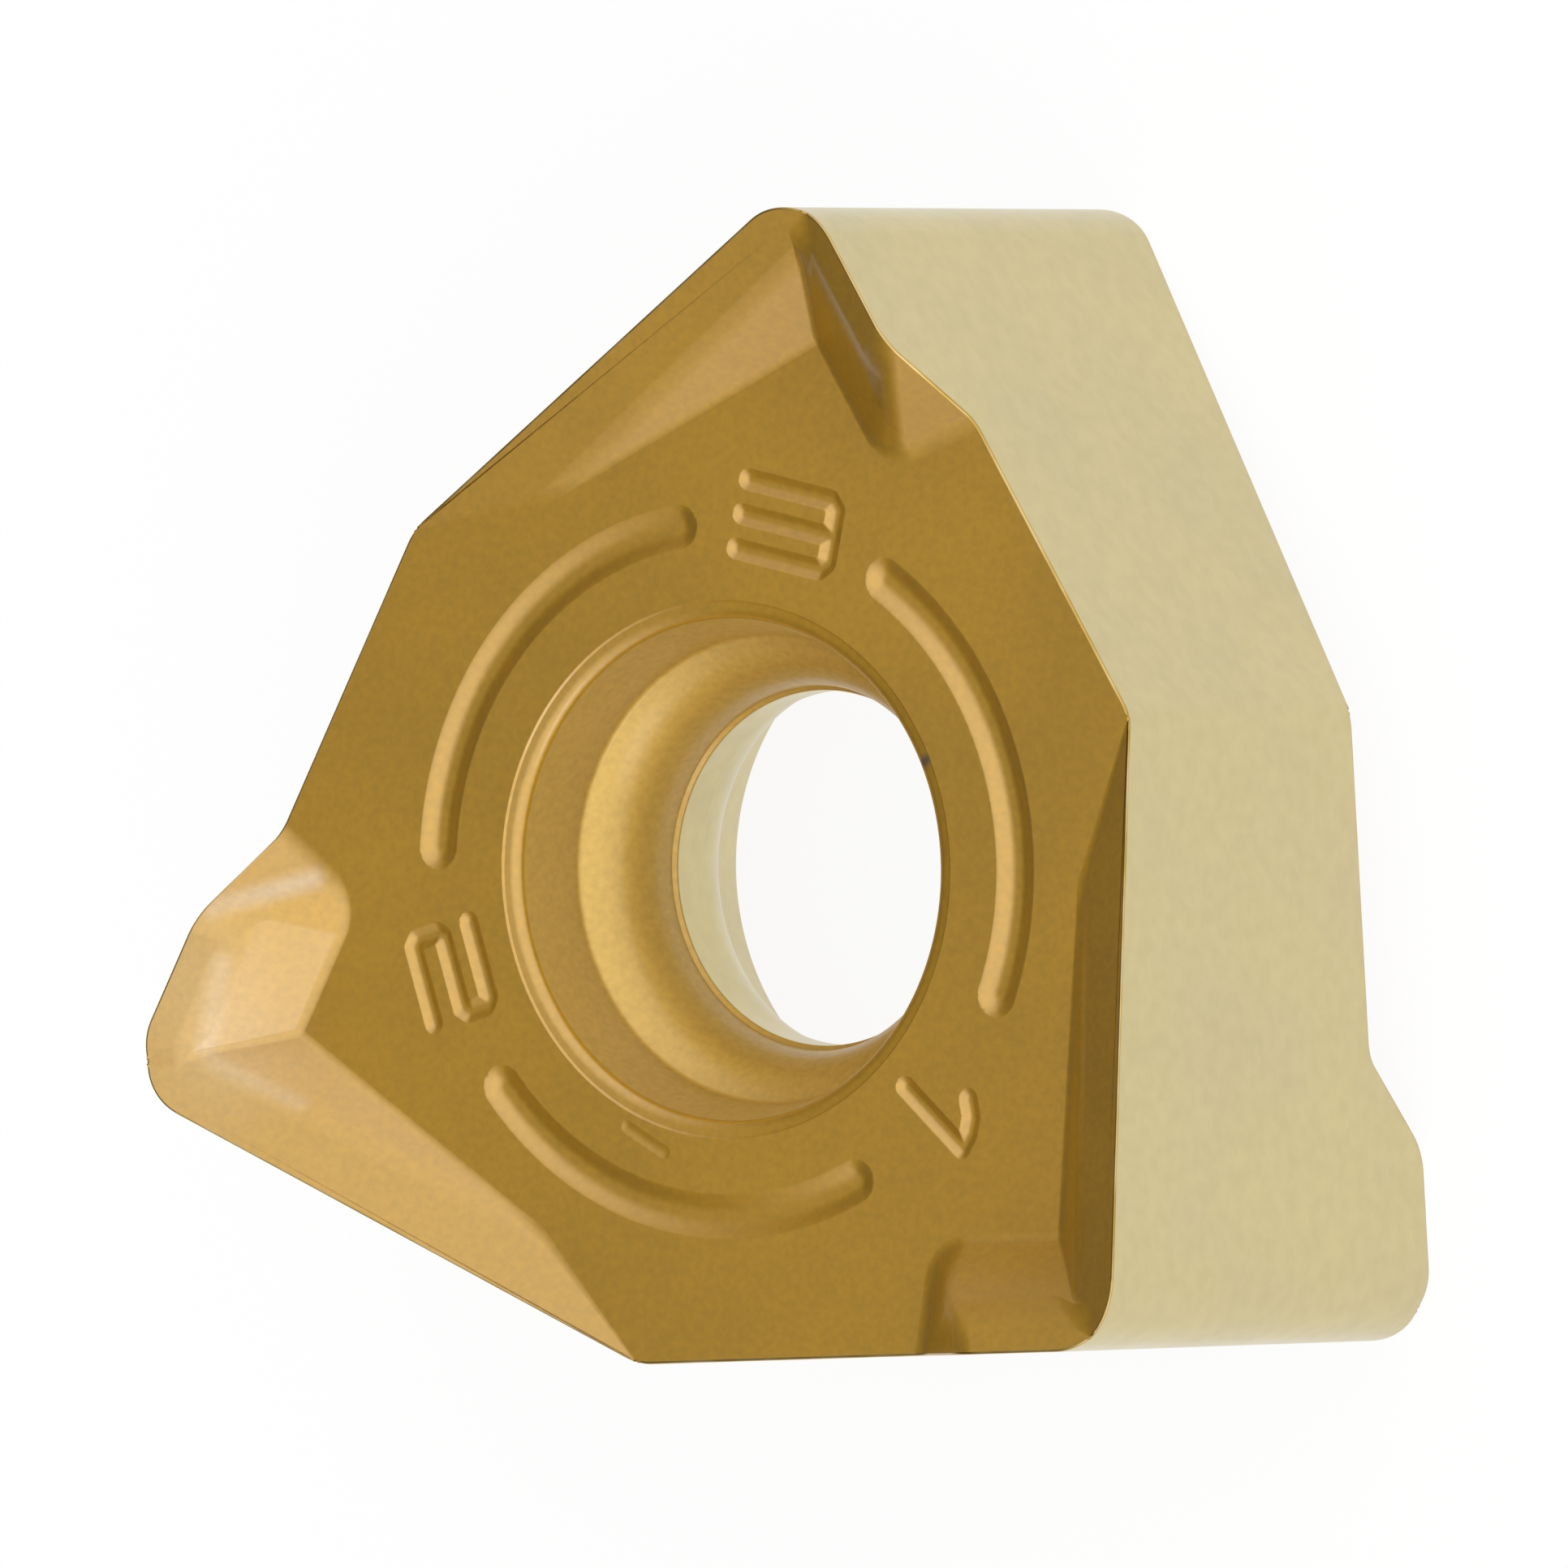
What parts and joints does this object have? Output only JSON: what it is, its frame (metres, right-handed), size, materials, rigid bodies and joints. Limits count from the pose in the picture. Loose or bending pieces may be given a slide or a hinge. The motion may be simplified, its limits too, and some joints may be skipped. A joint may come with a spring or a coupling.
{
  "type": "indexable milling insert",
  "caption": "Double-sided trigon carbide milling insert with raised cutting corners, chip-breaker facets, curved grooves and a countersunk screw hole.",
  "frame": {"origin": "on the screw hole's axis, half way between the two flat seats", "axes": "+Z along the screw hole, out of the upper seat; +Y towards the cutting corner that carries the figure three"},
  "size_m": [0.0154, 0.0152, 0.0076],
  "materials": {
    "coated_carbide": "satin gold-bronze coating on sintered tungsten carbide"
  },
  "bodies": {
    "root": {"insert": "coated_carbide"}
  },
  "joints": []
}
